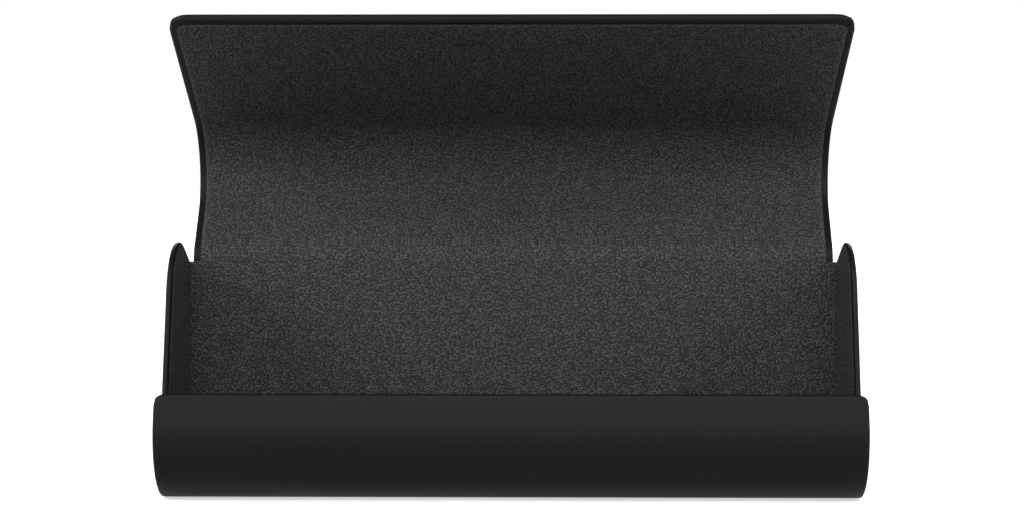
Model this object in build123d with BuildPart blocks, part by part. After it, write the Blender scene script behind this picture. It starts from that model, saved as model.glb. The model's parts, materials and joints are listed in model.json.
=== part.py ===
"""A hard spectacle case that stands on its narrow base, with a curved lid that folds back.

Right-handed frame in millimetres: +X to the right, -Y to the front, +Z up.
The origin is the centre of the flat underside. The lid is drawn folded back, which is its rest pose.
"""
from build123d import *
import os
from math import cos, radians, sin, tan

os.makedirs("parts", exist_ok=True)

# Overall shape of the lower shell, seen from the side (degrees lean back from upright)
shell_width = 162.5
base_length = 20.0
front_radius = 15.25
front_lean = 15.75
rim_height = 25.7
rear_radius = 2.5
back_lean = 4.0
rim_corner_radius = 2.5

# Layers of the lower shell and of the lid, from the outside in
cover_thickness = 0.5
board_thickness = 1.2
lining_thickness = 0.5
rim_hem = 3.0

# End walls, set in from the shell's side edges
end_inset = 1.45
end_cover_thickness = 0.35
end_board_thickness = 0.5
end_lining_thickness = 0.35
end_hem = 2.8
end_slope = 25.0
shoulder_radius = 14.0
crease_height = 53.7
crease_radius = 1.0

# Lid: at the hinge it passes between the end walls, and at its free edge it covers them.
# The shoulder has reached only a share of the growth in width.
lid_clearance = 0.3
lid_hinge_side_gap = 0.7
lid_edge_setback = 0.2
lid_shoulder_spread = 0.3
lid_edge_height = 11.9
lid_corner_radius = 4.5
lid_hem = 1.6
open_angle = 108.7

# Room left between the corners of the shell and the lid when they fold together
fold_clearance = 0.4

# Magnet in the lid, and the steel keeper strip that it meets in the front of the shell
magnet_length = 27.0
magnet_height = 9.0
magnet_from_edge = 7.0
keeper_length = 36.0
keeper_height = 11.0
keeper_thickness = 0.4

# Worked out from the sizes above
shell_thickness = cover_thickness + board_thickness + lining_thickness
board_depth = cover_thickness + board_thickness
end_thickness = end_cover_thickness + end_board_thickness + end_lining_thickness
end_outer = shell_width / 2 - end_inset
end_inner = end_outer - end_thickness
lid_hinge_width = 2 * (end_inner - lid_hinge_side_gap)
lid_edge_width = 2 * (end_outer - lid_edge_setback)
folded_angle = 90 + end_slope - back_lean
hinge_gap = shell_thickness / tan(radians(folded_angle / 2)) + fold_clearance


def heading(angle):
    """The unit step at an angle from the section's first axis."""
    return Vector(cos(radians(angle)), sin(radians(angle)))


def meeting_point(point_a, step_a, point_b, step_b):
    """Where two lines in the section cross."""
    along = (point_b - point_a).cross(step_b).Z / step_a.cross(step_b).Z
    return point_a + step_a * along


def to_left(step, distance):
    """The shift that moves a line to its left by a distance."""
    return step.rotate(Axis.Z, 90) * distance


def inset_outline(points, inset, start_trim, end_trim):
    """An open outline moved to its left, with its two ends drawn back along their edges."""
    steps = [(after - before).normalized() for before, after in zip(points, points[1:])]
    moved = [points[0] + to_left(steps[0], inset) + steps[0] * start_trim]
    for corner, before, after in zip(points[1:-1], steps, steps[1:]):
        moved.append(
            meeting_point(corner + to_left(before, inset), before, corner + to_left(after, inset), after)
        )
    moved.append(points[-1] + to_left(steps[-1], inset) - steps[-1] * end_trim)
    return moved


def add_layer(plane, outline, radii, near, far, width, trims):
    """A sheet that follows an outline, between two depths under it, as wide as asked."""
    near_points = inset_outline(outline, near, *trims)
    far_points = inset_outline(outline, far, *trims)
    with BuildSketch(plane) as profile:
        with BuildLine():
            near_side = FilletPolyline(*near_points, radius=[radius - near for radius in radii])
            far_side = FilletPolyline(*far_points, radius=[radius - far for radius in radii])
            Line(near_side @ 0, far_side @ 0)
            Line(near_side @ 1, far_side @ 1)
        make_face()
    extrude(profile.sketch, amount=width / 2, both=True)


def round_end(part, outward, radius):
    """Rounds the two corners of the sheet's end that faces a direction."""
    end_face = part.faces().sort_by(lambda face: face.normal_at().dot(outward))[-1]
    fillet(end_face.edges().sort_by(SortBy.LENGTH)[:2], radius)


def save(builder, name):
    """Labels a finished piece and writes it."""
    builder.part.label = name
    export_step(builder.part, f"parts/{name}.step")


# Lower shell: its outside runs from the rim down the front, along the base and up the back
front_step = heading(90 - front_lean)
back_step = heading(90 - back_lean)
base_step = heading(0)
front_corner = Vector(-base_length / 2 - front_radius / tan(radians((90 - front_lean) / 2)), 0)
rear_corner = Vector(base_length / 2 + rear_radius / tan(radians((90 + back_lean) / 2)), 0)
rim_point = front_corner + front_step * (rim_height / cos(radians(front_lean)))

# The lid's underside clears the sloping top of the end walls, and folds about the outer corner
slope_step = heading(180 - end_slope)
back_inside = rear_corner + to_left(back_step, shell_thickness)
crease = back_inside + back_step * ((crease_height - back_inside.Y) / back_step.Y)
lid_top = crease - to_left(slope_step, lid_clearance + shell_thickness)
hinge_axis = meeting_point(rear_corner, back_step, lid_top, slope_step)
back_top = hinge_axis - back_step * hinge_gap

shell_outline = [rim_point, front_corner, rear_corner, back_top]
shell_radii = [front_radius, rear_radius]
rim_outward = Vector(0, front_step.X, front_step.Y)


def add_shell_layer(near, far, margin, rim_trim):
    """One layer of the lower shell, drawn in from its side edges and from the rim."""
    width = shell_width - 2 * margin
    add_layer(Plane.YZ, shell_outline, shell_radii, near, far, width, (rim_trim, 0))


# The closed lid runs from the hinge over a rounded shoulder and down in front of the shell
lid_front = front_corner - to_left(-front_step, lid_clearance + shell_thickness)
lid_shoulder = meeting_point(lid_front, front_step, hinge_axis, slope_step)
lid_radius = shoulder_radius + lid_clearance + shell_thickness
lid_edge = lid_front + front_step * ((lid_edge_height - lid_front.Y) / front_step.Y)
magnet_centre = lid_edge + front_step * magnet_from_edge

# The keeper strip is let into the front board where the closed lid's magnet comes to rest
with BuildPart() as keeper_plate:
    add_shell_layer(cover_thickness, cover_thickness + keeper_thickness, 0, 0)
    with BuildSketch(Plane.XZ):
        with Locations((0, magnet_centre.Y)):
            RectangleRounded(keeper_length, keeper_height, keeper_height / 4)
    extrude(amount=shell_width / 2, mode=Mode.INTERSECT)
save(keeper_plate, "keeper_plate")

with BuildPart() as shell_board:
    add_shell_layer(cover_thickness, board_depth, cover_thickness, cover_thickness)
    round_end(shell_board, rim_outward, rim_corner_radius - cover_thickness)
    add(keeper_plate.part, mode=Mode.SUBTRACT)

with BuildPart() as front_board:
    add(shell_board.part)
    split(bisect_by=Plane.XZ.offset(base_length / 2), keep=Keep.TOP)
save(front_board, "front_board")

with BuildPart() as base_board:
    add(shell_board.part)
    split(bisect_by=Plane.XZ.offset(base_length / 2), keep=Keep.BOTTOM)
    split(bisect_by=Plane.XZ.offset(-base_length / 2), keep=Keep.TOP)
save(base_board, "base_board")

with BuildPart() as back_board:
    add(shell_board.part)
    split(bisect_by=Plane.XZ.offset(-base_length / 2), keep=Keep.BOTTOM)
save(back_board, "back_board")

with BuildPart() as body_lining:
    add_shell_layer(board_depth, shell_thickness, cover_thickness, rim_hem)
save(body_lining, "body_lining")

with BuildPart() as body_cover:
    add_shell_layer(0, shell_thickness, 0, 0)
    round_end(body_cover, rim_outward, rim_corner_radius)
    add(shell_board.part, mode=Mode.SUBTRACT)
    add(keeper_plate.part, mode=Mode.SUBTRACT)
    add(body_lining.part, mode=Mode.SUBTRACT)
save(body_cover, "body_cover")


# End walls: each fills the lower shell's section and rises above its rim to a rounded peak
def end_outline(free_margin, shell_margin):
    """The four corners of an end wall, drawn in from its free edges and from the shell."""
    base_line = Vector(0, shell_thickness + shell_margin)
    front_line = front_corner - to_left(front_step, shell_thickness + free_margin)
    slope_line = crease + to_left(slope_step, free_margin)
    back_line = rear_corner + to_left(back_step, shell_thickness + shell_margin)
    return [
        meeting_point(front_line, front_step, base_line, base_step),
        meeting_point(back_line, back_step, base_line, base_step),
        meeting_point(back_line, back_step, slope_line, slope_step),
        meeting_point(front_line, front_step, slope_line, slope_step),
    ]


def add_end_layer(side, near, far, free_margin, shell_margin):
    """One layer of an end wall, between two distances from the middle of the case."""
    radii = [
        front_radius - shell_thickness - shell_margin,
        rear_radius - shell_thickness,
        crease_radius,
        shoulder_radius - free_margin,
    ]
    with BuildSketch(Plane.YZ.offset(side * near)) as profile:
        with BuildLine():
            FilletPolyline(*end_outline(free_margin, shell_margin), radius=radii, close=True)
        make_face()
    extrude(profile.sketch, amount=side * (far - near))


lining_outer = end_inner + end_lining_thickness
board_outer = lining_outer + end_board_thickness

for side_name, side in (("left", -1), ("right", 1)):
    with BuildPart() as end_lining:
        add_end_layer(side, end_inner, lining_outer, end_hem, 0)
    save(end_lining, f"{side_name}_end_lining")

    with BuildPart() as end_board:
        add_end_layer(side, lining_outer, board_outer, end_cover_thickness, end_cover_thickness)
    save(end_board, f"{side_name}_end_board")

    with BuildPart() as end_cover:
        add_end_layer(side, end_inner, end_outer, 0, 0)
        add(end_board.part, mode=Mode.SUBTRACT)
        add(end_lining.part, mode=Mode.SUBTRACT)
    save(end_cover, f"{side_name}_end_cover")


# Lid: drawn in its own plane through the hinge axis, which is turned back by the opening angle
lid_x_dir = heading(-open_angle)
lid_plane = Plane(
    origin=(0, hinge_axis.X, hinge_axis.Y), x_dir=(0, lid_x_dir.X, lid_x_dir.Y), z_dir=(1, 0, 0)
)
lid_outline = [
    slope_step * hinge_gap,
    lid_shoulder - hinge_axis,
    lid_edge - hinge_axis,
]
lid_edge_outward = lid_plane.from_local_coords(-front_step) - lid_plane.origin


def lid_side_plane(side, margin):
    """The slightly slanted plane that cuts one side of the lid, wider at its free edge."""
    hinge_half = lid_hinge_width / 2
    edge_half = lid_edge_width / 2
    shoulder_half = hinge_half + (edge_half - hinge_half) * lid_shoulder_spread
    half_widths = (hinge_half, shoulder_half, edge_half)
    corners = [
        lid_plane.from_local_coords(Vector(point.X, point.Y, side * half_width))
        for point, half_width in zip(lid_outline, half_widths)
    ]
    outward = (corners[1] - corners[0]).cross(corners[2] - corners[0]) * side
    return Plane(origin=corners[0], x_dir=corners[1] - corners[0], z_dir=outward).offset(-margin)


def add_lid_layer(near, far, margin, edge_trim):
    """One layer of the lid, cut to its tapering width."""
    add_layer(lid_plane, lid_outline, [lid_radius], near, far, lid_edge_width * 2, (0, edge_trim))
    for side in (-1, 1):
        split(bisect_by=lid_side_plane(side, margin), keep=Keep.BOTTOM)


magnet_plane = Plane(
    origin=lid_plane.from_local_coords(magnet_centre - hinge_axis),
    x_dir=(1, 0, 0),
    z_dir=lid_plane.from_local_coords(magnet_centre - hinge_axis + to_left(-front_step, 1))
    - lid_plane.from_local_coords(magnet_centre - hinge_axis),
)

with BuildPart() as lid_magnet:
    with BuildSketch(magnet_plane.offset(cover_thickness)):
        Ellipse(magnet_length / 2, magnet_height / 2)
    extrude(amount=board_thickness)
save(lid_magnet, "lid_magnet")

with BuildPart() as lid_board:
    add_lid_layer(cover_thickness, board_depth, cover_thickness, cover_thickness)
    round_end(lid_board, lid_edge_outward, lid_corner_radius - cover_thickness)
    add(lid_magnet.part, mode=Mode.SUBTRACT)
save(lid_board, "lid_board")

with BuildPart() as lid_lining:
    add_lid_layer(board_depth, shell_thickness, lid_hem, lid_hem)
    round_end(lid_lining, lid_edge_outward, lid_corner_radius - lid_hem)
save(lid_lining, "lid_lining")

with BuildPart() as lid_cover:
    add_lid_layer(0, shell_thickness, 0, 0)
    round_end(lid_cover, lid_edge_outward, lid_corner_radius)
    add(lid_board.part, mode=Mode.SUBTRACT)
    add(lid_magnet.part, mode=Mode.SUBTRACT)
    add(lid_lining.part, mode=Mode.SUBTRACT)
save(lid_cover, "lid_cover")


# Living hinge: the cover and the lining each carry on across the gap between shell and lid
open_slope_step = slope_step.rotate(Axis.Z, -open_angle)
lid_start = hinge_axis + open_slope_step * hinge_gap

with BuildPart() as hinge_spine:
    spine_outline = [back_top, hinge_axis, lid_start]
    spine_inside = inset_outline(spine_outline, cover_thickness, 0, 0)
    with BuildSketch(Plane.YZ):
        with BuildLine():
            Polyline(*spine_outline, *reversed(spine_inside), close=True)
        make_face()
    extrude(amount=lid_hinge_width / 2, both=True)
save(hinge_spine, "hinge_spine")

with BuildPart() as hinge_lining:
    shell_end = [back_top + to_left(back_step, depth) for depth in (board_depth, shell_thickness)]
    lid_end = [lid_start + to_left(open_slope_step, depth) for depth in (board_depth, shell_thickness)]
    with BuildSketch(Plane.YZ):
        with BuildLine():
            Polyline(*shell_end, *reversed(lid_end), close=True)
        make_face()
    extrude(amount=lid_hinge_width / 2, both=True)
save(hinge_lining, "hinge_lining")
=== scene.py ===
"""A spectacle case standing open: leatherette skins folded over boards, lined with embossed cloth.

Metres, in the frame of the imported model: +X to the right, -Y to the front, +Z up.
A point of the side section is one complex number, Y + Z j, so turning a step left is
multiplying by j.
"""

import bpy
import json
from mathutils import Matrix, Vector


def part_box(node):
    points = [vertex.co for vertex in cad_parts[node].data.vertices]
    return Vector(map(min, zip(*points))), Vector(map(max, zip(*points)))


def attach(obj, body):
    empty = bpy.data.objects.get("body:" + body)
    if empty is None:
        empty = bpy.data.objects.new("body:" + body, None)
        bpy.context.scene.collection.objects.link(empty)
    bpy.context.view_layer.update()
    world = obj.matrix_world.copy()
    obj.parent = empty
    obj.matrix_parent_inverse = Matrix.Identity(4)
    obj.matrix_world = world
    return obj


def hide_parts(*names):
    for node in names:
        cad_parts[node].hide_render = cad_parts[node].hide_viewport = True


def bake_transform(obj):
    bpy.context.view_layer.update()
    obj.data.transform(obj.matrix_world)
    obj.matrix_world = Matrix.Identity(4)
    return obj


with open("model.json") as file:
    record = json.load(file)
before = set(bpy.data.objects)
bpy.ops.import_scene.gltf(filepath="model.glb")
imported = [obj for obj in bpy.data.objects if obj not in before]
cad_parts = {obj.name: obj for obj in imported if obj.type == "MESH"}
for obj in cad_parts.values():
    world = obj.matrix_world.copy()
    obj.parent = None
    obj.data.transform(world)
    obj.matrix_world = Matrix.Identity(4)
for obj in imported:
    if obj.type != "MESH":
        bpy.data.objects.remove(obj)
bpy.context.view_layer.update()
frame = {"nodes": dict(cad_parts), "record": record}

import json
from cmath import exp, phase
from math import cos, pi, radians, sin, tan

import bpy
import numpy as np
from mathutils import Vector

MM = 0.001

# Sizes that the skins share with the boards inside them
SKIN = 0.5 * MM
BOARD_DEPTH = 1.7 * MM
WALL = 2.2 * MM
RIM_HEM = 3.0 * MM
LID_HEM = 1.6 * MM
END_HEM = 2.8 * MM
LID_CLEARANCE = 0.3 * MM
FRONT_RADIUS = 15.25 * MM
REAR_RADIUS = 2.5 * MM
SHOULDER_RADIUS = 14.0 * MM
CREASE_RADIUS = 1.0 * MM
RIM_CORNER = 2.5 * MM
LID_CORNER = 4.5 * MM
FRONT_LEAN = 15.75
BACK_LEAN = 4.0
END_SLOPE = 25.0
LID_EDGE_HEIGHT = 11.9 * MM
LID_SHOULDER_SPREAD = 0.3
LID_EDGE_SETBACK = 0.2 * MM
MAGNET_FROM_EDGE = 7.0 * MM
RIM_HEIGHT = 25.7 * MM

# How the skins are finished
EDGE_ROUND = 0.5 * MM
RIM_ROUND = 0.8 * MM
HEM_ROUND = 1.3 * MM
SEAM_ROUND = 0.2 * MM
LINING_PROUD = 0.05 * MM
LINING_ROUND = 0.3 * MM
LINING_CORNER = 0.6 * MM
FOLD_STEP = 0.25 * MM
GLUE_FILM = 0.05 * MM
WAVE_HEIGHT = 0.02 * MM

# How far in from an edge the paler edge band reaches: on the covers partly fold wear and partly a
# painted highlight on the rounded edge, on the linings a painted highlight along the rounded edge
COVER_WEAR_AND_HIGHLIGHT_BAND = 2.2 * MM
LINING_HIGHLIGHT_BAND = 1.5 * MM

# The oval that the magnet raises in the lid's lining: its half height, its rise, and where its
# edge starts and ends as shares of its size
OVAL_HALF_HEIGHT = 4.5 * MM
OVAL_RISE = 0.18 * MM
OVAL_EDGE = (0.86, 1.16)

# The valley in the middle of the hinge's lining, and how much of the strip it takes
VALLEY_DEPTH = 0.12 * MM
VALLEY_SPREAD = 0.12

# End walls: the rounding, the skin, and the depths of the board's space and the lining
WALL_ROUND = 0.5 * MM
WALL_SKIN = 0.35 * MM
WALL_FLOOR = 0.3 * MM
WALL_LINING_DEPTH = 0.28 * MM
WALL_LINING_ROUND = 0.25 * MM
WALL_LINING_TUCK = 0.06 * MM
WALL_LINING_SWELL = 0.03 * MM
SLOPE_MARGIN = 0.6 * MM
SLOPE_SHARE = 0.07

# Spacing of the grids, and how much closer a cover's rows are than its columns
COVER_SPACING = 1.5 * MM
HOLLOW_SPACING = 2 * MM
HOLLOW_ROWS = 1.0 * MM
LINING_COLUMNS = 1.0 * MM
LINING_ROWS = 0.9 * MM
WIDE_COLUMNS = 1.2 * MM
STRIP_ROWS = 21
OVAL_COLUMNS = 0.5 * MM
OVAL_ROWS = 0.45 * MM
OVAL_MARGIN = 2 * MM
OVAL_ZONE = 18 * MM
ROW_SHARE = 0.7
WALL_ARC_STEPS = [14, 3, 5, 16]
WALL_RUN_STEPS = 20
SHARP_ANGLE = 50

case_low, case_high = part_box("body_cover")
base_low, base_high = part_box("base_board")
wall_low, wall_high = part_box("right_end_cover")
magnet_low, magnet_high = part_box("lid_magnet")
spine_low, spine_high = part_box("hinge_spine")
joint = frame["record"]["behaviour"]["joints"][0]
HINGE_AXIS = complex(joint["pos_m"][1], joint["pos_m"][2])
OPEN_ANGLE = joint["range_deg"][1]
SHELL_HALF = case_high.x
BASE_FRONT = base_low.y
BASE_BACK = base_high.y
WALL_OUTER = wall_high.x
WALL_INNER = wall_low.x
LID_HINGE_HALF = spine_high.x
LID_EDGE_HALF = WALL_OUTER - LID_EDGE_SETBACK


# ---------------------------------------------------------------- section
def heading(angle):
    """The unit step at an angle from the section's first axis."""
    return exp(1j * radians(angle))


def crossing(point_a, step_a, point_b, step_b):
    """Where two lines in the section cross."""
    along = ((point_b - point_a).conjugate() * step_b).imag / (step_a.conjugate() * step_b).imag
    return point_a + step_a * along


class Outline:
    """Straight runs joined by rounded corners, measured from the first point.

    The inside is to the left.
    """

    def __init__(self, corners, radii):
        self.runs = []
        here = corners[0]
        for index in range(1, len(corners) - 1):
            before = corners[index] - corners[index - 1]
            after = corners[index + 1] - corners[index]
            before, after = before / abs(before), after / abs(after)
            turn = phase(after / before)
            trim = radii[index - 1] * tan(abs(turn) / 2)
            arc_start = corners[index] - before * trim
            self.runs.append((abs(arc_start - here), here, before, 0))
            bend = (1 if turn > 0 else -1) / radii[index - 1]
            self.runs.append((abs(turn) * radii[index - 1], arc_start, before, bend))
            here = corners[index] + after * trim
        last = corners[-1] - here
        self.runs.append((abs(last), here, last / abs(last), 0))
        self.length = sum(run[0] for run in self.runs)

    def at(self, along):
        """The points and steps at distances along the outline."""
        point = np.zeros(np.shape(along), complex)
        step = np.ones(np.shape(along), complex)
        start = 0
        for index, (length, origin, direction, bend) in enumerate(self.runs):
            here = (along >= start) | (index == 0)
            if bend:
                turn = np.exp(1j * bend * (along - start))
                point = np.where(here, origin + 1j * direction / bend * (1 - turn), point)
            else:
                turn = 1
                point = np.where(here, origin + direction * (along - start), point)
            step = np.where(here, direction * turn, step)
            start += length
        return point, step


class SoftBend:
    """One smooth curve from a point and step to another, as a bent strip lies."""

    def __init__(self, start, start_step, end, end_step):
        self.length = abs(end - start)
        self.ends = start, start_step * self.length, end, end_step * self.length

    def at(self, along):
        """The points and steps at distances along the strip."""
        t = along / self.length
        start, leave, end, arrive = self.ends
        point = (
            (2 * t**3 - 3 * t**2 + 1) * start + (t**3 - 2 * t**2 + t) * leave
            + (3 * t**2 - 2 * t**3) * end + (t**3 - t**2) * arrive
        )
        step = (
            (6 * t**2 - 6 * t) * start + (3 * t**2 - 4 * t + 1) * leave
            + (6 * t - 6 * t**2) * end + (3 * t**2 - 2 * t) * arrive
        )
        return point, step / np.abs(step)


front_step = heading(90 - FRONT_LEAN)
back_step = heading(90 - BACK_LEAN)
slope_step = heading(180 - END_SLOPE)
front_corner = complex(BASE_FRONT - FRONT_RADIUS / tan(radians((90 - FRONT_LEAN) / 2)), 0)
rear_corner = complex(BASE_BACK + REAR_RADIUS / tan(radians((90 + BACK_LEAN) / 2)), 0)
rim_point = front_corner + front_step * (RIM_HEIGHT / cos(radians(FRONT_LEAN)))
back_top = rear_corner + back_step * (spine_low.z / back_step.imag)
lid_top = HINGE_AXIS + 1j * slope_step * (LID_CLEARANCE + WALL)
crease = crossing(rear_corner + 1j * back_step * WALL, back_step, lid_top, slope_step)
hinge_gap = abs(HINGE_AXIS - back_top)

lid_front = front_corner + 1j * front_step * (LID_CLEARANCE + WALL)
lid_shoulder = crossing(lid_front, front_step, HINGE_AXIS, slope_step)
lid_edge = lid_front + front_step * ((LID_EDGE_HEIGHT - lid_front.imag) / front_step.imag)
opening = heading(-OPEN_ANGLE)
lid_corners = [
    HINGE_AXIS + (corner - HINGE_AXIS) * opening
    for corner in (HINGE_AXIS + slope_step * hinge_gap, lid_shoulder, lid_edge)
]
open_slope = slope_step * opening

shell_path = Outline([rim_point, front_corner, rear_corner, back_top], [FRONT_RADIUS, REAR_RADIUS])
lid_path = Outline(lid_corners, [SHOULDER_RADIUS + LID_CLEARANCE + WALL])


def shell_half(point):
    """Half the lower shell's width, the same all round the section."""
    return np.full(np.shape(point), SHELL_HALF)


def strip_half(point):
    """Half the width of the strips over the hinge."""
    return np.full(np.shape(point), LID_HINGE_HALF)


def lid_half(point):
    """Half the lid's width, which grows evenly from the hinge to the free edge."""
    offsets = [corner - lid_corners[0] for corner in lid_corners[1:]]
    reach = np.array([[offset.real, offset.imag] for offset in offsets])
    growth = LID_EDGE_HALF - LID_HINGE_HALF
    slant = np.linalg.solve(reach, [growth * LID_SHOULDER_SPREAD, growth])
    offset = point - lid_corners[0]
    return LID_HINGE_HALF + slant[0] * offset.real + slant[1] * offset.imag


# ---------------------------------------------------------------- meshes
def edge_insets(radius, steps=5):
    """Distances in from an edge that round it evenly."""
    return [radius * (1 - cos(pi / 2 * k / steps)) for k in range(steps + 1)]


def marks(low, high, spacing, low_insets=(0,), high_insets=(0,)):
    """Grid lines from low to high, at set distances from each edge and evenly in between."""
    first = [low + inset for inset in low_insets]
    last = [high - inset for inset in reversed(high_insets)]
    count = max(1, round((last[0] - first[-1]) / spacing))
    middle = np.linspace(first[-1], last[0], count + 1)[1:-1]
    return np.array(first + list(middle) + last)


def rounding(inset, radius):
    """How far a rounded edge has dropped at a distance in from it."""
    short = np.clip(radius - inset, 0, radius)
    return radius - np.sqrt(radius**2 - short**2)


def ease(value, low, high):
    """0 below low, 1 above high, and smooth between."""
    t = np.clip((value - low) / (high - low), 0, 1)
    return t * t * (3 - 2 * t)


def new_piece(name, points, faces, flat=None, edge_wear_and_highlight=None):
    """A mesh object at the origin, with the flat cutting pattern as its UV map."""
    mesh = bpy.data.meshes.new(name)
    mesh.from_pydata([tuple(p) for p in points], [], faces)
    if flat is not None:
        layer = mesh.uv_layers.new(name="flat_cut")
        corner = np.zeros(len(mesh.loops), int)
        mesh.loops.foreach_get("vertex_index", corner)
        layer.data.foreach_set("uv", np.asarray(flat)[corner].ravel())
    # The edge mask that the finishes paint paler: fold wear on the covers, and a painted highlight
    # on the rounded edges
    if edge_wear_and_highlight is not None:
        mark = mesh.attributes.new("edge_wear_and_highlight", "FLOAT", "POINT")
        mark.data.foreach_set("value", np.asarray(edge_wear_and_highlight, np.float32))
    mesh.shade_smooth()
    mesh.set_sharp_from_angle(angle=radians(SHARP_ANGLE))
    piece = bpy.data.objects.new(name, mesh)
    bpy.context.scene.collection.objects.link(piece)
    return piece


class Panel:
    """A panel cut flat as a grid, with rounded corners where asked, then bent round an outline."""

    def __init__(
        self, path, half, nominal, across, along, corner=0, corner_at_start=True, cut_from=0
    ):
        self.path, self.half, self.nominal, self.cut_from = path, half, nominal, cut_from
        self.a, self.s = np.meshgrid(across, along)
        self.low, self.high = along[0], along[-1]
        self.from_side = across[-1] - np.abs(self.a)
        self.from_low = self.s - self.low
        self.from_high = self.high - self.s
        self.flat_a, self.flat_s = self.a.copy(), self.s.copy()
        if corner:
            inset = self.from_low if corner_at_start else self.from_high
            u = np.clip(1 - self.from_side / corner, 0, 1)
            v = np.clip(1 - inset / corner, 0, 1)
            both = (u > 0) & (v > 0)
            shrink = np.where(both, np.maximum(u, v) / np.maximum(np.hypot(u, v), 1e-9), 1)
            side = across[-1] - corner * (1 - u * shrink)
            self.flat_a = np.where(both, np.sign(self.a) * side, self.a)
            drawn = corner * (1 - v * shrink)
            end = self.low + drawn if corner_at_start else self.high - drawn
            self.flat_s = np.where(both, end, self.s)

    def place(self, depth):
        """The grid's points in space, at a depth under the outline."""
        point, step = self.path.at(self.flat_s)
        point = point + 1j * step * depth
        x = self.flat_a * self.half(point) / self.nominal
        return np.stack([x, point.real, point.imag], -1).reshape(-1, 3)

    def slab(self, near, far, inside_out=False):
        """The closed solid between two depths: points, faces, flat pattern, edge distance."""
        rows, columns = self.a.shape
        index = np.arange(rows * columns).reshape(rows, columns)
        low_left, low_right = index[:-1, :-1], index[:-1, 1:]
        high_left, high_right = index[1:, :-1], index[1:, 1:]
        inner = np.stack([low_left, low_right, high_right, high_left], -1).reshape(-1, 4)
        outer = inner[:, ::-1]
        inner = inner + rows * columns
        ring = np.concatenate([index[0, :-1], index[:-1, -1], index[-1, :0:-1], index[:0:-1, 0]])
        after = np.roll(ring, -1)
        rim = np.stack([ring, after, after + rows * columns, ring + rows * columns], -1)
        faces = np.concatenate([outer, inner, rim])
        if inside_out:
            faces = faces[:, ::-1]
        points = np.concatenate([self.place(near), self.place(far)])
        flat = np.stack([points[: rows * columns, 0], self.flat_s.ravel() + self.cut_from], -1)
        edge = np.minimum(self.from_side, np.minimum(self.from_low, self.from_high)).ravel()
        return points, faces, np.concatenate([flat, flat]), np.concatenate([edge, edge])


def join_parts(parts):
    """Several closed solids as one list of points, faces, flat pattern and edge distance."""
    points, faces, flats, edges, start = [], [], [], [], 0
    for point, face, flat, edge in parts:
        points.append(point)
        faces.extend((np.asarray(f) + start).tolist() for f in face)
        flats.append(flat)
        edges.append(edge)
        start += len(point)
    return np.concatenate(points), faces, np.concatenate(flats), np.concatenate(edges)


def folded_skin(name, panel, hollow, hem_inset):
    """A cover wrapped round its board, with rounded edges, a hem inside and the board's space."""
    soft = np.maximum(
        rounding(panel.from_side, EDGE_ROUND), rounding(panel.from_hinge, SEAM_ROUND)
    )
    drop = np.maximum(soft, rounding(panel.from_free, RIM_ROUND))
    rise = np.maximum(soft, rounding(panel.from_free, HEM_ROUND))
    floor = BOARD_DEPTH + GLUE_FILM
    depth = WALL + (floor - WALL) * ease(hem_inset, 0, FOLD_STEP)
    outside = panel.slab(drop, depth - rise)
    inside = hollow.slab(SKIN, BOARD_DEPTH, inside_out=True)
    points, faces, flat, edge = join_parts([outside, inside])
    # Paler band near the cover's edges: partly fold wear, partly a painted highlight on the
    # rounded edge
    edge_wear_and_highlight = 1 - ease(edge, 0, COVER_WEAR_AND_HIGHLIGHT_BAND)
    edge_wear_and_highlight[panel.a.size:] = 0
    return new_piece(name, points, faces, flat, edge_wear_and_highlight)


def hem_step(hem):
    """Insets for the step at the inner edge of a hem."""
    return [hem, hem + FOLD_STEP / 2, hem + FOLD_STEP]


def make_body_cover():
    """The cover of the lower shell: down the front from the rim, under the base, up the back."""
    hems = edge_insets(HEM_ROUND) + hem_step(RIM_HEM)
    sides = edge_insets(EDGE_ROUND)
    seam = edge_insets(SEAM_ROUND, 3)
    across = marks(-SHELL_HALF, SHELL_HALF, COVER_SPACING, sides, sides)
    along = marks(0, shell_path.length, COVER_SPACING * ROW_SHARE, hems, seam)
    panel = Panel(shell_path, shell_half, SHELL_HALF, across, along, RIM_CORNER)
    panel.from_free, panel.from_hinge = panel.from_low, panel.from_high
    half = SHELL_HALF - SKIN
    columns = marks(-half, half, HOLLOW_SPACING)
    rows = marks(SKIN, shell_path.length, HOLLOW_ROWS)
    hollow = Panel(shell_path, shell_half, SHELL_HALF, columns, rows, RIM_CORNER - SKIN)
    return folded_skin("body_cover_leather", panel, hollow, panel.from_free - RIM_HEM)


def lining_panel(name, panel, puff):
    """A lining: rounded at its edges, standing just proud of the hem round it."""
    from_edge = np.minimum(panel.from_side, panel.from_free)
    drop = rounding(from_edge, LINING_ROUND)
    near = np.full(panel.a.shape, BOARD_DEPTH + GLUE_FILM)
    far = WALL + LINING_PROUD + puff - drop
    points, faces, flat, _ = panel.slab(near, far)
    # Paler band along the lining's rounded edge: a painted highlight
    edge_wear_and_highlight = 1 - ease(np.tile(from_edge.ravel(), 2), 0, LINING_HIGHLIGHT_BAND)
    return new_piece(name, points, faces.tolist(), flat, edge_wear_and_highlight)


def make_body_lining():
    """The lining of the lower shell, up to the hem under the rim."""
    half = SHELL_HALF - SKIN
    rim = edge_insets(LINING_ROUND, 4)
    across = marks(-half, half, LINING_COLUMNS, rim, rim)
    along = marks(RIM_HEM, shell_path.length, LINING_ROWS, rim)
    panel = Panel(shell_path, shell_half, SHELL_HALF, across, along, LINING_CORNER)
    panel.from_free = panel.from_low
    return lining_panel("body_lining_cloth", panel, waves(panel))


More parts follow.
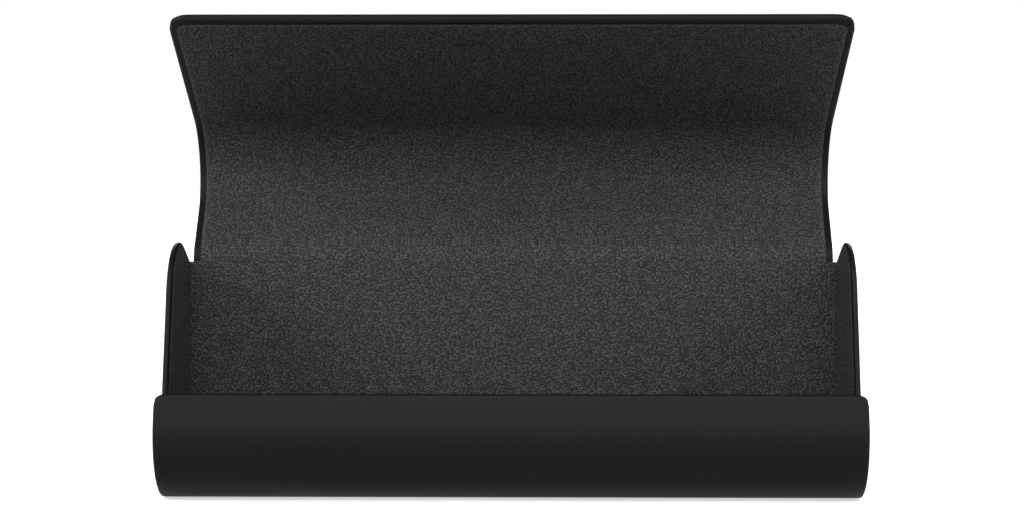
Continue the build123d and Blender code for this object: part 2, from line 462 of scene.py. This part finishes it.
def waves(panel):
    """Slow unevenness of glued cloth, between 2.5 wave heights under and 1.5 over."""
    a, s = panel.flat_a, panel.flat_s
    short = np.sin(a / (9 * MM) + 1.3) * np.sin(s / (7 * MM))
    slanted = np.sin(a / (17 * MM) - s / (11 * MM))
    return WAVE_HEIGHT * (short + slanted - 0.5)


def lid_panel(margin, spacing, corner, insets, seam):
    """The lid's panel, drawn in from its sides and its free edge."""
    half = LID_EDGE_HALF - margin
    across = marks(-half, half, spacing, insets, insets)
    along = marks(0, lid_path.length - margin, spacing * ROW_SHARE, seam, insets)
    panel = Panel(lid_path, lid_half, LID_EDGE_HALF, across, along, corner, corner_at_start=False)
    panel.from_free, panel.from_hinge = panel.from_high, panel.from_low
    return panel


def make_lid_cover():
    """The cover of the lid, with a narrow hem on its underside."""
    insets = edge_insets(HEM_ROUND) + hem_step(LID_HEM)
    panel = lid_panel(0, COVER_SPACING, LID_CORNER, insets, edge_insets(SEAM_ROUND, 3))
    hollow = lid_panel(SKIN, HOLLOW_SPACING, LID_CORNER - SKIN, [0], [0])
    hem = np.minimum(panel.from_side, panel.from_free) - LID_HEM
    return folded_skin("lid_cover_leather", panel, hollow, hem)


def make_lid_lining():
    """The lid's lining, raised in an oval over the magnet near the free edge."""
    half = LID_EDGE_HALF - LID_HEM
    edge = edge_insets(LINING_ROUND, 4)
    oval_half = (magnet_high.x - magnet_low.x) / 2
    fine = oval_half + OVAL_MARGIN
    outer = marks(-half, -fine, WIDE_COLUMNS, edge)
    across = np.concatenate([outer[:-1], marks(-fine, fine, OVAL_COLUMNS), -outer[-2::-1]])
    end = lid_path.length - LID_HEM
    along = np.concatenate([
        marks(0, end - OVAL_ZONE, LINING_ROWS)[:-1],
        marks(end - OVAL_ZONE, end, OVAL_ROWS, [0], edge),
    ])
    panel = Panel(
        lid_path, lid_half, LID_EDGE_HALF, across, along, LID_CORNER - LID_HEM,
        corner_at_start=False, cut_from=shell_path.length + 2 * hinge_gap,
    )
    panel.from_free = panel.from_high
    off_centre = lid_path.length - MAGNET_FROM_EDGE - panel.flat_s
    reach = np.hypot(panel.flat_a / oval_half, off_centre / OVAL_HALF_HEIGHT)
    raised = OVAL_RISE * (1 - ease(reach, *OVAL_EDGE))
    return lining_panel("lid_lining_cloth", panel, raised + waves(panel))


def hinge_strip(name, depth, far, valley, margin, hem=0):
    """A strip bent over the gap between shell and lid, whose middle may sink to a valley."""
    start = back_top + 1j * back_step * depth
    end = lid_corners[0] + 1j * open_slope * depth
    path = SoftBend(start, back_step, end, open_slope)
    half = LID_HINGE_HALF - margin
    insets = edge_insets(SEAM_ROUND, 3) + hem_step(LID_HEM)
    across = marks(-half, half, WIDE_COLUMNS, insets, insets)
    along = np.linspace(0, path.length, STRIP_ROWS)
    panel = Panel(path, strip_half, LID_HINGE_HALF, across, along, cut_from=shell_path.length)
    drop = rounding(panel.from_side, SEAM_ROUND)
    middle = np.sin(np.pi * panel.s / path.length)
    sunk = valley * np.exp(-(((panel.s / path.length - 0.5) / VALLEY_SPREAD) ** 2))
    thick = far - depth + hem * (1 - ease(panel.from_side - LID_HEM, 0, FOLD_STEP))
    points, faces, flat, _ = panel.slab(drop, thick - drop - sunk * middle)
    strip = new_piece(name, points, faces.tolist(), flat, np.zeros(len(points)))
    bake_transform(strip)
    return strip


# ---------------------------------------------------------------- end walls
def slope_margin(free_margin):
    """The margin along the sloping edge, where the lining reaches almost to the wall's edge."""
    return min(free_margin, SLOPE_MARGIN) + SLOPE_SHARE * max(0, free_margin - SLOPE_MARGIN)


def wall_corners(free_margin, shell_margin):
    """The four corners of an end wall, drawn in from its free edges and from the shell."""
    base_point = 1j * (WALL + shell_margin)
    front_point = front_corner - 1j * front_step * (WALL + free_margin)
    slope_point = crease + 1j * slope_step * slope_margin(free_margin)
    back_point = rear_corner + 1j * back_step * (WALL + shell_margin)
    return [
        crossing(front_point, front_step, base_point, 1),
        crossing(back_point, back_step, base_point, 1),
        crossing(back_point, back_step, slope_point, slope_step),
        crossing(front_point, front_step, slope_point, slope_step),
    ]


def wall_outline(free_margin, shell_margin):
    """The end wall's rounded outline as points, the same number for every margin."""
    corners = wall_corners(free_margin, shell_margin)
    radii = [
        FRONT_RADIUS - WALL - shell_margin,
        REAR_RADIUS - WALL,
        CREASE_RADIUS,
        SHOULDER_RADIUS - free_margin,
    ]
    arcs = []
    for index, (corner, radius, count) in enumerate(zip(corners, radii, WALL_ARC_STEPS)):
        before = corner - corners[index - 1]
        after = corners[(index + 1) % 4] - corner
        before, after = before / abs(before), after / abs(after)
        turn = phase(after / before)
        start = corner - before * radius * tan(turn / 2)
        turns = [exp(1j * turn * k / count) for k in range(count + 1)]
        arcs.append([start + 1j * before * radius * (1 - turned) for turned in turns])
    points = []
    for arc, following in zip(arcs, arcs[1:] + arcs[:1]):
        points.extend(arc)
        run = following[0] - arc[-1]
        points.extend(arc[-1] + run * k / WALL_RUN_STEPS for k in range(1, WALL_RUN_STEPS))
    return np.array(points)


def wall_solid(side, levels, inside_out=False):
    """A closed solid through outlines at set distances from the middle of the case.

    Each level is the margin from the free edges, the margin from the shell, the distance and
    the outline's scale. Only the full-size outlines give their distance from the free edges.
    """
    rings = []
    for free_margin, shell_margin, x, shrink in levels:
        outline = wall_outline(free_margin, shell_margin)
        centre = outline.mean()
        outline = centre + (outline - centre) * shrink
        rings.append(np.stack([np.full(len(outline), side * x), outline.real, outline.imag], -1))
    count = len(rings[0])
    points = np.concatenate(rings + [rings[0].mean(0)[None], rings[-1].mean(0)[None]])
    first, last = len(rings) * count, len(rings) * count + 1
    faces = []
    for k in range(count):
        after = (k + 1) % count
        faces.append([first, after, k])
        faces.append([last, (len(rings) - 1) * count + k, (len(rings) - 1) * count + after])
        for ring in range(len(rings) - 1):
            low, high = ring * count, (ring + 1) * count
            faces.append([low + k, low + after, high + after, high + k])
    if (side > 0) == inside_out:
        faces = [face[::-1] for face in faces]
    flat = points[:, 1:] * np.array([side, 1])
    from_free = [margin if shrink == 1 else 1 for margin, _, _, shrink in levels]
    free = np.concatenate([np.full(count, distance) for distance in from_free] + [[1, 1]])
    return points, faces, flat, free


def make_end_cover(side_name, side):
    """The cover of an end wall, with its hem along the two free edges."""
    floor = WALL_INNER + WALL_FLOOR
    insets = edge_insets(WALL_ROUND, 4)
    drops = [(inset, rounding(inset, WALL_ROUND)) for inset in insets]
    outside = [(inset, 0, WALL_OUTER - drop, 1) for inset, drop in reversed(drops)]
    inside = [(inset, 0, WALL_INNER + drop, 1) for inset, drop in drops]
    hem = [
        (END_HEM - 0.1 * MM, 0, WALL_INNER, 1),
        (END_HEM + 0.05 * MM, 0.05 * MM, (WALL_INNER + floor) / 2, 1),
        (END_HEM + 0.2 * MM, 0.1 * MM, floor, 1),
    ]
    middle_out = [(1 * MM, 0, WALL_OUTER, shrink) for shrink in (0.3, 0.7, 0.95)]
    middle_in = [(END_HEM + 0.2 * MM, 0.1 * MM, floor, shrink) for shrink in (0.9, 0.5)]
    skin = wall_solid(side, middle_out + outside + inside + hem + middle_in)
    near, far = WALL_OUTER - WALL_SKIN, floor + GLUE_FILM
    board_space = [
        (WALL_SKIN, WALL_SKIN, x, shrink)
        for x, shrink in ((near, 0.5), (near, 1), (far, 1), (far, 0.5))
    ]
    hollow = wall_solid(side, board_space, inside_out=True)
    points, faces, flat, free = join_parts([skin, hollow])
    name = f"{side_name}_end_cover_leather"
    # The end cover's edge band: partly fold wear, partly a painted highlight on the rounded edge
    return new_piece(name, points, faces, flat, 1 - ease(free, 0, COVER_WEAR_AND_HIGHLIGHT_BAND))


def make_end_lining(side_name, side):
    """The lining on the inside of an end wall, standing out a little more away from its edge."""
    top = WALL_INNER - LINING_PROUD
    bottom = WALL_INNER + WALL_LINING_DEPTH
    levels = [(END_HEM, -WALL_LINING_TUCK, bottom, shrink) for shrink in (0.5, 1)]
    for inset in edge_insets(WALL_LINING_ROUND, 4):
        drop = rounding(inset, WALL_LINING_ROUND)
        levels.append((END_HEM + inset, -WALL_LINING_TUCK, top + drop, 1))
    for inset, rise in ((1, 0.6), (2, 1)):
        levels.append((END_HEM + inset * MM, 0.1 * MM, top - WALL_LINING_SWELL * rise, 1))
    for shrink in (0.8, 0.5, 0.2):
        levels.append((END_HEM + 2 * MM, 0.1 * MM, top - WALL_LINING_SWELL, shrink))
    points, faces, flat, free = wall_solid(side, levels)
    name = f"{side_name}_end_lining_cloth"
    # The end lining's edge band: a painted highlight along its rounded edge
    return new_piece(name, points, faces, flat, 1 - ease(free - END_HEM, 0, LINING_HIGHLIGHT_BAND))


# ---------------------------------------------------------------- materials
class Shade:
    """A node's output, used in formulas like a number: every operator adds a Math node."""

    def __init__(self, tree, socket=None):
        self.tree, self.socket = tree, socket

    def node(self, kind, settings=None, inputs=None, output=0):
        """Any node, its settings first, then the values or links of its sockets."""
        made = self.tree.nodes.new(kind)
        for name, value in (settings or {}).items():
            setattr(made, name, value)
        for name, value in (inputs or {}).items():
            if isinstance(value, Shade):
                self.tree.links.new(value.socket, made.inputs[name])
            else:
                made.inputs[name].default_value = value
        return Shade(self.tree, made.outputs[output])

    def formula(self, operation, first, second=0):
        """A Math node on two values."""
        return self.node("ShaderNodeMath", {"operation": operation}, {0: first, 1: second})

    def __add__(self, other):
        return self.formula("ADD", self, other)

    def __radd__(self, other):
        return self.formula("ADD", other, self)

    def __sub__(self, other):
        return self.formula("SUBTRACT", self, other)

    def __rsub__(self, other):
        return self.formula("SUBTRACT", other, self)

    def __mul__(self, other):
        return self.formula("MULTIPLY", self, other)


def start_finish(name, **uniform):
    """A new material, its formula sheet and its shader, with the values that don't vary."""
    material = bpy.data.materials.new(name)
    material.use_nodes = True
    tree = material.node_tree
    shader = next(node for node in tree.nodes if node.type == "BSDF_PRINCIPLED")
    for socket, value in uniform.items():
        shader.inputs[socket.replace("_", " ")].default_value = value
    return material, Shade(tree), shader


def finish_with(sheet, shader, **links):
    """Joins the varying values to the shader's sockets."""
    for socket, value in links.items():
        sheet.tree.links.new(value.socket, shader.inputs[socket.replace("_", " ")])


def grey(level):
    """A neutral colour of one level."""
    return level, level, level, 1


def colour_mix(sheet, amount, dark, light):
    """A colour between two."""
    inputs = {0: amount, 6: dark, 7: light}
    return sheet.node("ShaderNodeMix", {"data_type": "RGBA"}, inputs, output=2)


def place_on(sheet):
    """The point of the piece that is being shaded."""
    return sheet.node("ShaderNodeTexCoord", output=3)


def cloudy(sheet, place, scale, detail=2.0):
    """Soft random variation from 0 to 1."""
    inputs = {"Vector": place, "Scale": scale, "Detail": detail}
    return sheet.node("ShaderNodeTexNoise", None, inputs)


def bumped(sheet, height, distance, strength=1.0):
    """A surface normal that follows a height."""
    inputs = {"Height": height, "Distance": distance, "Strength": strength}
    return sheet.node("ShaderNodeBump", None, inputs)


def leatherette_finish():
    """Near-black satin leatherette with a very fine grain, a little paler near its folded edges:
    partly fold wear, partly a painted highlight on the rounded edges.
    """
    material, sheet, shader = start_finish("leatherette_black_satin", Specular_IOR_Level=0.058)
    place = place_on(sheet)
    cells = {"Vector": place, "Scale": 2400.0}
    pores = sheet.node("ShaderNodeTexVoronoi", {"feature": "SMOOTH_F1"}, cells)
    creases = cloudy(sheet, place, 900.0, 4.0)
    patches = cloudy(sheet, place, 28.0, 3.0)
    edge_wear_and_highlight = sheet.node("ShaderNodeAttribute", {"attribute_name": "edge_wear_and_highlight"}, output=2)
    height = (1 - pores) * 0.6 + creases * 0.4
    # Paler near the edges: partly fold wear, partly a painted highlight on the rounded edge
    tone = patches * 0.55 + creases * 0.25 + edge_wear_and_highlight * 0.35
    colour = colour_mix(sheet, tone, grey(0.0018), grey(0.0036))
    roughness = 0.42 + patches * 0.10 + pores * 0.06 - edge_wear_and_highlight * 0.04
    normal = bumped(sheet, height, 0.022 * MM, 0.55)
    finish_with(sheet, shader, Base_Color=colour, Roughness=roughness, Normal=normal)
    return material


def lining_finish():
    """Charcoal cloth embossed all over with small pebbles; the pebble tops are painted paler as a
    painted glint, and the rounded edges paler as a painted highlight.
    """
    material, sheet, shader = start_finish("lining_charcoal_embossed", Specular_IOR_Level=0.06)
    flat = sheet.node("ShaderNodeUVMap", {"uv_map": "flat_cut"})
    slow = {"Vector": flat, "Scale": 900.0, "Detail": 1.0}
    drift = sheet.node("ShaderNodeTexNoise", None, slow, output=1)
    shift = sheet.node("ShaderNodeVectorMath", {"operation": "MULTIPLY_ADD"},
                       {0: drift, 1: (0.0004, 0.0004, 0), 2: flat})
    cells = {"Vector": shift, "Scale": 1750.0, "Randomness": 1.0}
    flat_cells = {"feature": "F1", "voronoi_dimensions": "2D"}
    rim = sheet.node("ShaderNodeTexVoronoi", flat_cells, cells)
    chance = sheet.node("ShaderNodeTexVoronoi", flat_cells, cells, output=1)
    chance = sheet.node("ShaderNodeSeparateColor", None, {0: chance})
    pebble = sheet.node("ShaderNodeMapRange", {"interpolation_type": "SMOOTHSTEP"},
                        {0: rim, 1: 0.15, 2: 0.62, 3: 1.0, 4: 0.0})
    fibres = cloudy(sheet, flat, 3000.0, 2.0)
    patches = cloudy(sheet, flat, 300.0, 3.0)
    edge_wear_and_highlight = sheet.node("ShaderNodeAttribute", {"attribute_name": "edge_wear_and_highlight"}, output=2)
    height = pebble * (0.5 + chance * 0.7) + fibres * 0.2
    # Pebble tops painted paler as a painted glint of random strength; the edge band is a painted
    # highlight
    tone = pebble * (0.25 + chance * chance * 1.1) + patches * 0.3 + fibres * 0.12 + edge_wear_and_highlight * 0.2
    colour = colour_mix(sheet, tone, grey(0.0026), grey(0.0325))
    roughness = 0.66 - chance * pebble * 0.28
    normal = bumped(sheet, height, 0.10 * MM, 1.0)
    finish_with(sheet, shader, Base_Color=colour, Roughness=roughness, Normal=normal)
    return material


def board_finish():
    """Grey-brown pressed paperboard with short fibres."""
    material, sheet, shader = start_finish("pressed_board_grey")
    place = place_on(sheet)
    fibres = cloudy(sheet, place, 1400.0, 5.0)
    flecks = cloudy(sheet, place, 260.0, 2.0)
    tone = fibres * 0.7 + flecks * 0.3
    colour = colour_mix(sheet, tone, (0.24, 0.22, 0.20, 1), (0.38, 0.36, 0.33, 1))
    normal = bumped(sheet, fibres, 0.05 * MM, 0.6)
    finish_with(sheet, shader, Base_Color=colour, Roughness=0.85 + flecks * 0.1, Normal=normal)
    return material


def metal_finish(name, dark, light, roughness):
    """Plain rolled or plated metal with fine lengthwise scratches."""
    material, sheet, shader = start_finish(name, Metallic=1.0)
    place = place_on(sheet)
    stretch = {0: place, 1: (0.05, 1.0, 1.0)}
    drawn = sheet.node("ShaderNodeVectorMath", {"operation": "MULTIPLY"}, stretch)
    scratches = cloudy(sheet, drawn, 6000.0, 4.0)
    patches = cloudy(sheet, place, 120.0, 2.0)
    colour = colour_mix(sheet, scratches * 0.6 + patches * 0.4, dark, light)
    normal = bumped(sheet, scratches, 0.01 * MM, 0.4)
    rough = roughness + scratches * 0.15
    finish_with(sheet, shader, Base_Color=colour, Roughness=rough, Normal=normal)
    return material


def floor_finish():
    """Matt white table top with the faintest unevenness."""
    material, sheet, shader = start_finish(
        "table_matt_white", Specular_IOR_Level=0.2, Emission_Strength=1.4
    )
    place = place_on(sheet)
    patches = cloudy(sheet, place, 9.0, 3.0)
    colour = colour_mix(sheet, patches, grey(0.39), grey(0.41))
    rough = 0.55 + patches * 0.1
    finish_with(sheet, shader, Base_Color=colour, Emission_Color=colour, Roughness=rough)
    return material


def dress(piece, material, slot, body, *nodes):
    """Gives a piece its finish and its body, and hides the nodes that it stands for."""
    piece.data.materials.append(material)
    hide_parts(*nodes)
    if body:
        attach(piece, body)


leatherette = leatherette_finish()
lining = lining_finish()
dress(make_body_cover(), leatherette, "leatherette", "case", "body_cover")
dress(make_body_lining(), lining, "lining", "case", "body_lining")
dress(make_lid_cover(), leatherette, "leatherette", "lid", "lid_cover")
dress(make_lid_lining(), lining, "lining", "lid", "lid_lining")
spine = hinge_strip("hinge_spine_leather", 0, SKIN, 0, 0, WALL - SKIN)
dress(spine, leatherette, "leatherette", None, "hinge_spine")
hinge_cloth = hinge_strip(
    "hinge_lining_cloth", BOARD_DEPTH, WALL + LINING_PROUD, VALLEY_DEPTH, LID_HEM
)
dress(hinge_cloth, lining, "lining", None, "hinge_lining")
for side_name, side in (("left", -1), ("right", 1)):
    end_cover = make_end_cover(side_name, side)
    dress(end_cover, leatherette, "leatherette", "case", f"{side_name}_end_cover")
    end_lining = make_end_lining(side_name, side)
    dress(end_lining, lining, "lining", "case", f"{side_name}_end_lining")

board = board_finish()
steel = metal_finish("keeper_rolled_steel", (0.45, 0.45, 0.46, 1), (0.62, 0.62, 0.63, 1), 0.35)
nickel = metal_finish("magnet_plated_nickel", (0.55, 0.54, 0.51, 1), (0.70, 0.69, 0.66, 1), 0.22)
for node_name, node in frame["nodes"].items():
    finish = {"keeper_plate": steel, "lid_magnet": nickel}.get(node_name, board)
    node.data.materials.clear()
    node.data.materials.append(finish)


# ---------------------------------------------------------------- studio
WORLD_LIGHT = 0.28
BACKDROP_LIGHT = 1.02
FLOOR_HALF = 3

# The camera: its place, how far it looks down and aside (degrees), its sensor's width (mm), and
# its focal length as a share of that width
CAMERA_PLACE = (7.18 * MM, -505.25 * MM, 82.23 * MM)
CAMERA_DOWN = 3
CAMERA_ASIDE = -0.81
SENSOR_WIDTH = 36
FOCAL_SHARE = 2135.4 / 1024

# Azimuth, elevation, strength and spread of each light; azimuth 0 is the front, 90 the right
SUNS = {
    "front_softbox": (0, 37, 3.2, 40),
    "low_front_card": (0, 9, 0.9, 24),
    "left_softbox": (-64, 30, 4.2, 30),
    "right_softbox": (64, 30, 2.9, 30),
    "rear_softbox": (180, 22, 2.0, 40),
}


def make_floor():
    """The table top, level with the case's underside."""
    corners = ((-1, -1), (1, -1), (1, 1), (-1, 1))
    points = [(x * FLOOR_HALF, y * FLOOR_HALF, case_low.z) for x, y in corners]
    floor = new_piece("table_top", points, [[0, 1, 2, 3]])
    floor.data.materials.append(floor_finish())


def make_world():
    """Even, dim light from all round, in front of a plain white background."""
    world = bpy.data.worlds.new("studio")
    world.use_nodes = True
    bpy.context.scene.world = world
    sheet = Shade(world.node_tree)
    seen = sheet.node("ShaderNodeLightPath")
    level = WORLD_LIGHT + seen * (BACKDROP_LIGHT - WORLD_LIGHT)
    background = next(node for node in world.node_tree.nodes if node.type == "BACKGROUND")
    background.inputs["Color"].default_value = grey(1)
    world.node_tree.links.new(level.socket, background.inputs["Strength"])


def add_sun(name, azimuth, elevation, strength, spread):
    """A broad, even light from one direction."""
    lamp = bpy.data.lights.new(name, "SUN")
    lamp.energy, lamp.angle = strength, radians(spread)
    light = bpy.data.objects.new(name, lamp)
    bpy.context.scene.collection.objects.link(light)
    around, up = radians(azimuth), radians(elevation)
    toward_light = np.array([sin(around) * cos(up), -cos(around) * cos(up), sin(up)])
    aim_at(light, toward_light, np.zeros(3))


def aim_at(thing, place, target):
    """Puts a light or camera at a place, looking at a target."""
    thing.location = Vector(place)
    thing.rotation_mode = "QUATERNION"
    thing.rotation_quaternion = Vector(target - place).to_track_quat("-Z", "Y")


def make_camera():
    """The camera in front of the case, a little above its middle and looking slightly down."""
    place = np.array(CAMERA_PLACE)
    down, aside = radians(CAMERA_DOWN), radians(CAMERA_ASIDE)
    toward = np.array([sin(aside) * cos(down), cos(aside) * cos(down), -sin(down)])
    data = bpy.data.cameras.new("camera")
    data.sensor_width = SENSOR_WIDTH
    data.lens = SENSOR_WIDTH * FOCAL_SHARE
    data.clip_start, data.clip_end = 0.01, 20
    camera = bpy.data.objects.new("camera", data)
    bpy.context.scene.collection.objects.link(camera)
    aim_at(camera, place, place + toward)
    bpy.context.scene.camera = camera


make_floor()
make_world()
for sun_name, sun in SUNS.items():
    add_sun(sun_name, *sun)
make_camera()
bpy.context.scene.view_settings.view_transform = "Standard"
